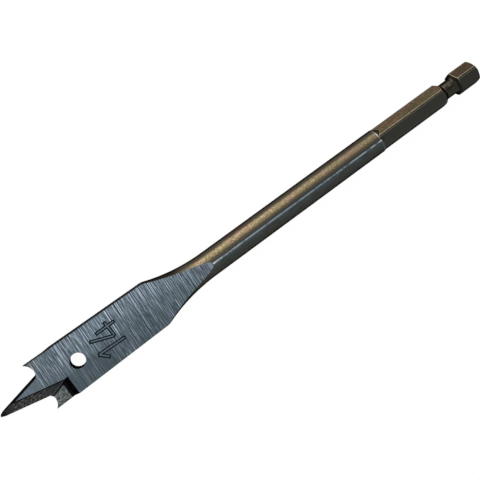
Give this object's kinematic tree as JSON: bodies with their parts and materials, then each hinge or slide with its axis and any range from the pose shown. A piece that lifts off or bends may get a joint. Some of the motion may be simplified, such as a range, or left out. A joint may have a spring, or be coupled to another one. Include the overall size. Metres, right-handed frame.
{
  "type": "spade drill bit",
  "caption": "Flat wood bit with a centre point, hollow-ground lips with spurs, a ground blade with a hanging hole, a round shaft and a grooved hexagonal shank.",
  "frame": {"origin": "centre of the hexagonal shank's end face, on the bit's axis", "axes": "+X along the axis from the shank to the point, +Y across the blade, +Z the blade's normal"},
  "size_m": [0.1556, 0.014, 0.0072],
  "materials": {
    "tempered_steel": "ground blade with crosswise grinding marks, dark bronze and black temper colours on the shaft and shank"
  },
  "bodies": {
    "root": {"spade_bit": "tempered_steel"}
  },
  "joints": []
}
